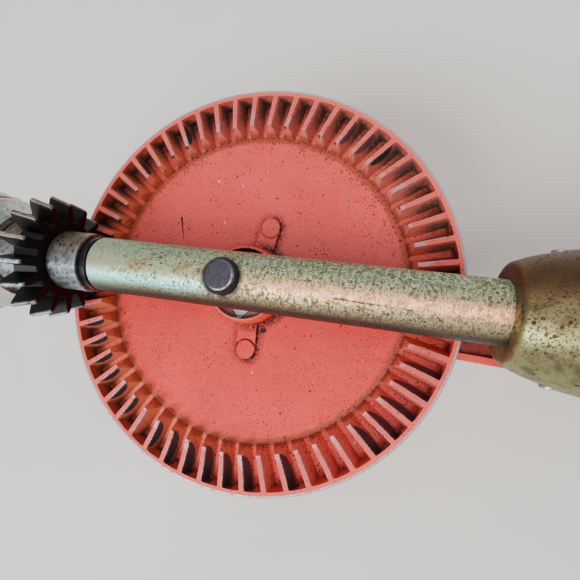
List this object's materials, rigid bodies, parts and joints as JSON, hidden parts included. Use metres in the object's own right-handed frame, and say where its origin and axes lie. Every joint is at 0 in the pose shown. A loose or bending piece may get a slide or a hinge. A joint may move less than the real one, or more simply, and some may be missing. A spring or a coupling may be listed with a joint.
{
  "type": "hand drill",
  "caption": "Hand-cranked drill: a tubular frame carries a large toothed gear that drives a pinion, spindle and jaw chuck, with a turned wooden handle and a wooden crank knob.",
  "frame": {"origin": "centre of the flat butt of the handle, on the spindle axis", "axes": "+X along the spindle axis, from the chuck to the butt; +Z along the gear axle, from the crank up to the tube; +Y completes the right-handed frame"},
  "size_m": [0.2583, 0.1016, 0.0809],
  "materials": {
    "plated_steel": "yellow zinc plate, dull and pitted",
    "bearing_bronze": "oiled bearing bronze",
    "black_steel": "blackened steel",
    "bright_steel": "plain turned steel",
    "oily_steel": "dark oily steel",
    "chuck_steel": "worn nickel plate",
    "jaw_steel": "hardened dark steel",
    "gear_paint": "worn satin red paint on a zinc casting",
    "grip_wood": "varnished hardwood",
    "knob_wood": "varnished hardwood"
  },
  "bodies": {
    "frame": {"frame_tube": "plated_steel", "front_bushing": "bearing_bronze", "thrust_washer": "black_steel", "thrust_ball": "bright_steel", "handle_ferrule": "plated_steel", "handle_grip": "grip_wood", "handle_pin": "bright_steel", "axle_pin": "black_steel", "axle_spacer": "black_steel", "axle_washer": "bright_steel", "axle_clip": "black_steel"},
    "crank": {"drive_gear": "gear_paint", "hub_bushing": "bearing_bronze", "crank_arm": "gear_paint", "knob_stud": "bright_steel", "knob_washer": "bright_steel"},
    "knob": {"crank_knob": "knob_wood"},
    "spindle": {"spindle": "bright_steel", "pinion": "oily_steel", "pinion_pin": "bright_steel", "chuck_body": "chuck_steel"},
    "sleeve": {"chuck_sleeve": "chuck_steel", "chuck_nut_left": "chuck_steel", "chuck_nut_right": "chuck_steel"},
    "jaw_1": {"chuck_jaw_1": "jaw_steel"},
    "jaw_2": {"chuck_jaw_2": "jaw_steel"},
    "jaw_3": {"chuck_jaw_3": "jaw_steel"}
  },
  "joints": [
    {"name": "gear_spin", "type": "hinge", "parent": "frame", "child": "crank", "pos_m": [-0.16, 0, -0.0113], "axis": [0, 0, 1], "continuous": true},
    {"name": "spindle_spin", "type": "hinge", "parent": "frame", "child": "spindle", "pos_m": [-0.2, 0, 0], "axis": [1, 0, 0], "continuous": true},
    {"name": "knob_spin", "type": "hinge", "parent": "crank", "child": "knob", "pos_m": [-0.07205, -0.00307, -0.045], "axis": [0, 0, 1], "continuous": true},
    {"name": "sleeve_turn", "type": "hinge", "parent": "spindle", "child": "sleeve", "pos_m": [-0.2365, 0, 0], "axis": [-1, 0, 0], "range_deg": [0, 1800]},
    {"name": "jaw_1_slide", "type": "slide", "parent": "spindle", "child": "jaw_1", "axis": [0.9613, 0, 0.2756], "range_m": [0, 0.0116]},
    {"name": "jaw_2_slide", "type": "slide", "parent": "spindle", "child": "jaw_2", "axis": [0.9613, -0.2387, -0.1378], "range_m": [0, 0.0116]},
    {"name": "jaw_3_slide", "type": "slide", "parent": "spindle", "child": "jaw_3", "axis": [0.9613, 0.2387, -0.1378], "range_m": [0, 0.0116]}
  ],
  "couplings": [
    {"joint": "spindle_spin", "follows": "gear_spin", "ratio": -3.5},
    {"joint": "jaw_1_slide", "follows": "sleeve_turn", "m_per_rad": 0.000366},
    {"joint": "jaw_2_slide", "follows": "sleeve_turn", "m_per_rad": 0.000366},
    {"joint": "jaw_3_slide", "follows": "sleeve_turn", "m_per_rad": 0.000366}
  ]
}
